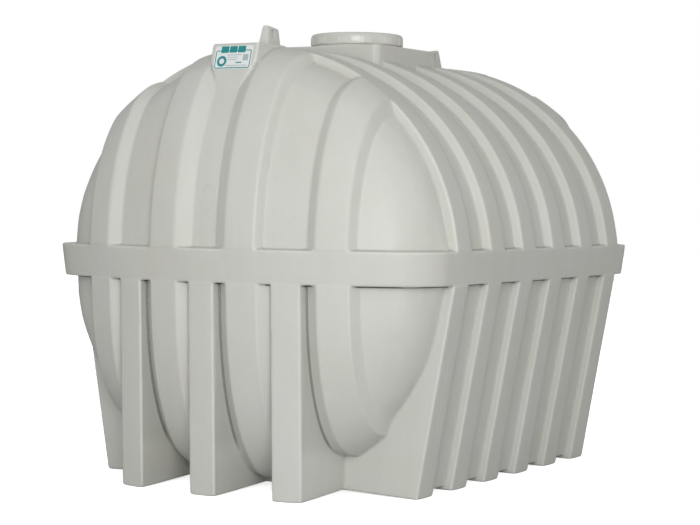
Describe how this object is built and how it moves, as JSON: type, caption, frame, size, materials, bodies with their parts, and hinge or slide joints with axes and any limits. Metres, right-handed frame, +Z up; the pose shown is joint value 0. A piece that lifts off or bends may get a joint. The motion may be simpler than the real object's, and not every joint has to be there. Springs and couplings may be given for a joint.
{
  "type": "underground water tank",
  "caption": "Low moulded plastic tank for burying: ribbed hull on saddle feet, square turret with a round screw lid, lifting lugs and a label pad.",
  "frame": {"origin": "ground plane under the middle of the tank", "axes": "+Z up, Y along the tank with the label-pad end facing -Y, X across the tank"},
  "size_m": [1.89, 2.437, 1.931],
  "materials": {
    "moulded_plastic": "satin as-moulded polyethylene",
    "lid_plastic": "slightly glossier injection-moulded plastic"
  },
  "bodies": {
    "root": {"arch_1": "moulded_plastic", "arch_2": "moulded_plastic", "arch_3_left": "moulded_plastic", "arch_3_right": "moulded_plastic", "arch_4_left": "moulded_plastic", "arch_4_right": "moulded_plastic", "arch_5": "moulded_plastic", "arch_6": "moulded_plastic", "barrel_upper": "moulded_plastic", "bay_pan_1": "moulded_plastic", "bay_pan_2": "moulded_plastic", "bay_pan_3": "moulded_plastic", "bay_pan_4": "moulded_plastic", "bay_pan_5": "moulded_plastic", "belly_front": "moulded_plastic", "belly_middle": "moulded_plastic", "belly_rear": "moulded_plastic", "belt": "moulded_plastic", "dome_front": "moulded_plastic", "dome_rear": "moulded_plastic", "label_pad": "moulded_plastic", "leg_front_left": "moulded_plastic", "leg_front_middle": "moulded_plastic", "leg_front_right": "moulded_plastic", "leg_rear_left": "moulded_plastic", "leg_rear_middle": "moulded_plastic", "leg_rear_right": "moulded_plastic", "lid": "lid_plastic", "lifting_lug_front": "moulded_plastic", "lifting_lug_rear": "moulded_plastic", "neck": "moulded_plastic", "rib_front_inner_left": "moulded_plastic", "rib_front_inner_right": "moulded_plastic", "rib_front_outer_left": "moulded_plastic", "rib_front_outer_right": "moulded_plastic", "rib_rear_inner_left": "moulded_plastic", "rib_rear_inner_right": "moulded_plastic", "rib_rear_outer_left": "moulded_plastic", "rib_rear_outer_right": "moulded_plastic", "saddle_1": "moulded_plastic", "saddle_2": "moulded_plastic", "saddle_3": "moulded_plastic", "saddle_4": "moulded_plastic", "saddle_5": "moulded_plastic", "saddle_6": "moulded_plastic", "turret": "moulded_plastic"}
  },
  "joints": []
}
